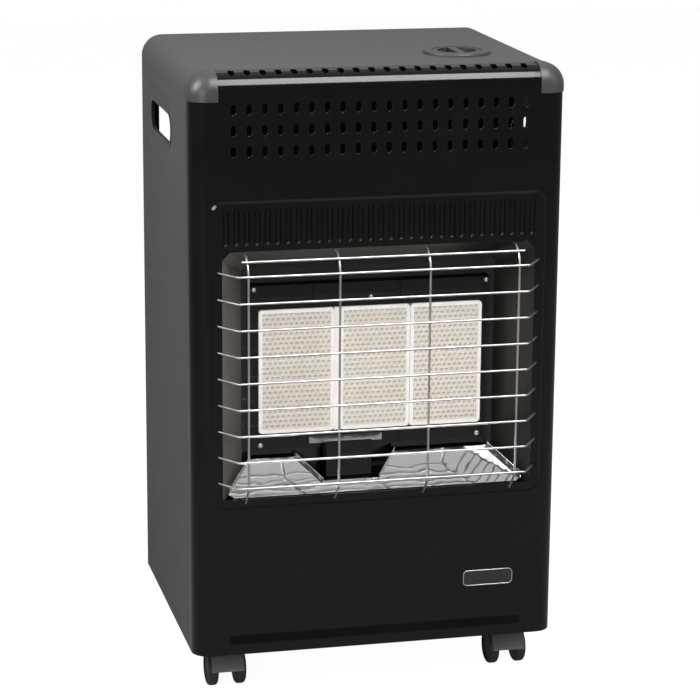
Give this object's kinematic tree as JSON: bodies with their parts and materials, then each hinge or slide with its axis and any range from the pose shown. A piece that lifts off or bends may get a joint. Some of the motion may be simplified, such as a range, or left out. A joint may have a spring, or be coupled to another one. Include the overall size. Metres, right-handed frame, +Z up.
{
  "type": "portable gas cabinet heater",
  "caption": "Upright sheet-metal gas cabinet heater on casters, with radiant ceramic plaques behind a wire guard, side carry handles and a top knob.",
  "frame": {"origin": "on the floor under the middle of the whole object's bounding box", "axes": "+Z up, +X to the right as seen from the front, +Y to the back; the burner faces -Y"},
  "size_m": [0.4224, 0.4312, 0.7138],
  "materials": {
    "side_paint": "fine textured matt powder coat, dark grey",
    "front_paint": "smooth gloss black",
    "enamel": "gloss black heat-proof enamel",
    "trim_plastic": "satin, dark grey",
    "knob_plastic": "satin, near black",
    "badge_plastic": "blank, gloss dark grey",
    "guard_chrome": "bright plated wire",
    "bright_steel": "mirror bright sheet",
    "zinc_steel": "zinc plated",
    "burner_steel": "plain aluminised steel",
    "plaque_ceramic": "unglazed cream, finely perforated",
    "ceramic_fibre": "soft white fibre strip",
    "brass": "turned brass",
    "valve_aluminium": "cast, as cast",
    "copper_pipe": "drawn copper alloy tube",
    "spring_steel": "bright wire",
    "caster_plastic": "satin, dark grey",
    "wheel_plastic": "hard nylon, dark grey"
  },
  "bodies": {
    "heater": {"badge": "badge_plastic", "base_plate": "side_paint", "burner_left": "burner_steel", "burner_middle": "burner_steel", "burner_plate": "enamel", "burner_right": "burner_steel", "casing": "side_paint", "caster_sockets": "zinc_steel", "corner_cap_left": "trim_plastic", "corner_cap_right": "trim_plastic", "firebox": "enamel", "front_panel": "front_paint", "guard_bars": "guard_chrome", "guard_rails": "guard_chrome", "handle_rim_left": "trim_plastic", "handle_rim_right": "trim_plastic", "heat_shield": "zinc_steel", "hose_nozzle": "brass", "injector_manifold": "zinc_steel", "injectors": "brass", "knob_bezel": "trim_plastic", "knob_spring": "spring_steel", "pilot_burner": "brass", "pilot_pipe": "copper_pipe", "pilot_shelf": "zinc_steel", "pilot_shield": "enamel", "plaque_left": "plaque_ceramic", "plaque_middle": "plaque_ceramic", "plaque_right": "plaque_ceramic", "plaque_seal": "ceramic_fibre", "plate_screws": "zinc_steel", "reflector_tray": "bright_steel", "spark_electrode": "plaque_ceramic", "supply_pipe": "copper_pipe", "thermocouple": "zinc_steel", "valve_body": "valve_aluminium", "valve_bracket": "zinc_steel"},
    "rear_cover": {"rear_cover": "side_paint"},
    "valve_spindle": {"valve_spindle": "zinc_steel"},
    "control_knob": {"control_knob": "knob_plastic"},
    "front_left_caster": {"front_left_caster_hood": "caster_plastic", "front_left_caster_stem": "zinc_steel", "front_left_caster_axle": "zinc_steel"},
    "front_left_caster_left_wheel": {"front_left_caster_wheel_left": "wheel_plastic"},
    "front_left_caster_right_wheel": {"front_left_caster_wheel_right": "wheel_plastic"},
    "front_right_caster": {"front_right_caster_hood": "caster_plastic", "front_right_caster_stem": "zinc_steel", "front_right_caster_axle": "zinc_steel"},
    "front_right_caster_left_wheel": {"front_right_caster_wheel_left": "wheel_plastic"},
    "front_right_caster_right_wheel": {"front_right_caster_wheel_right": "wheel_plastic"},
    "rear_left_caster": {"rear_left_caster_hood": "caster_plastic", "rear_left_caster_stem": "zinc_steel", "rear_left_caster_axle": "zinc_steel"},
    "rear_left_caster_left_wheel": {"rear_left_caster_wheel_left": "wheel_plastic"},
    "rear_left_caster_right_wheel": {"rear_left_caster_wheel_right": "wheel_plastic"},
    "rear_right_caster": {"rear_right_caster_hood": "caster_plastic", "rear_right_caster_stem": "zinc_steel", "rear_right_caster_axle": "zinc_steel"},
    "rear_right_caster_left_wheel": {"rear_right_caster_wheel_left": "wheel_plastic"},
    "rear_right_caster_right_wheel": {"rear_right_caster_wheel_right": "wheel_plastic"}
  },
  "joints": [
    {"name": "knob_push", "type": "slide", "parent": "heater", "child": "valve_spindle", "axis": [0, 0, -1], "range_m": [0, 0.006], "stiffness_N_per_m": 600, "springref_m": -0.004, "deforming": ["knob_spring"]},
    {"name": "knob_turn", "type": "hinge", "parent": "valve_spindle", "child": "control_knob", "pos_m": [0.115, -0.07237, 0.705], "axis": [0, 0, 1], "range_deg": [0, 240]},
    {"name": "rear_cover_lift", "type": "slide", "parent": "heater", "child": "rear_cover", "axis": [0, 0, 1], "range_m": [0, 0.01]},
    {"name": "front_left_caster_swivel", "type": "hinge", "parent": "heater", "child": "front_left_caster", "pos_m": [-0.1665, -0.12237, 0.052], "axis": [0, 0, 1], "continuous": true},
    {"name": "front_left_caster_left_wheel_spin", "type": "hinge", "parent": "front_left_caster", "child": "front_left_caster_left_wheel", "pos_m": [-0.1665, -0.13837, 0.0205], "axis": [1, 0, 0], "continuous": true},
    {"name": "front_left_caster_right_wheel_spin", "type": "hinge", "parent": "front_left_caster", "child": "front_left_caster_right_wheel", "pos_m": [-0.1665, -0.13837, 0.0205], "axis": [1, 0, 0], "continuous": true},
    {"name": "front_right_caster_swivel", "type": "hinge", "parent": "heater", "child": "front_right_caster", "pos_m": [0.1665, -0.12237, 0.052], "axis": [0, 0, 1], "continuous": true},
    {"name": "front_right_caster_left_wheel_spin", "type": "hinge", "parent": "front_right_caster", "child": "front_right_caster_left_wheel", "pos_m": [0.1665, -0.13837, 0.0205], "axis": [1, 0, 0], "continuous": true},
    {"name": "front_right_caster_right_wheel_spin", "type": "hinge", "parent": "front_right_caster", "child": "front_right_caster_right_wheel", "pos_m": [0.1665, -0.13837, 0.0205], "axis": [1, 0, 0], "continuous": true},
    {"name": "rear_left_caster_swivel", "type": "hinge", "parent": "heater", "child": "rear_left_caster", "pos_m": [-0.1665, 0.11363, 0.052], "axis": [0, 0, 1], "continuous": true},
    {"name": "rear_left_caster_left_wheel_spin", "type": "hinge", "parent": "rear_left_caster", "child": "rear_left_caster_left_wheel", "pos_m": [-0.1665, 0.09763, 0.0205], "axis": [1, 0, 0], "continuous": true},
    {"name": "rear_left_caster_right_wheel_spin", "type": "hinge", "parent": "rear_left_caster", "child": "rear_left_caster_right_wheel", "pos_m": [-0.1665, 0.09763, 0.0205], "axis": [1, 0, 0], "continuous": true},
    {"name": "rear_right_caster_swivel", "type": "hinge", "parent": "heater", "child": "rear_right_caster", "pos_m": [0.1665, 0.11363, 0.052], "axis": [0, 0, 1], "continuous": true},
    {"name": "rear_right_caster_left_wheel_spin", "type": "hinge", "parent": "rear_right_caster", "child": "rear_right_caster_left_wheel", "pos_m": [0.1665, 0.09763, 0.0205], "axis": [1, 0, 0], "continuous": true},
    {"name": "rear_right_caster_right_wheel_spin", "type": "hinge", "parent": "rear_right_caster", "child": "rear_right_caster_right_wheel", "pos_m": [0.1665, 0.09763, 0.0205], "axis": [1, 0, 0], "continuous": true}
  ]
}
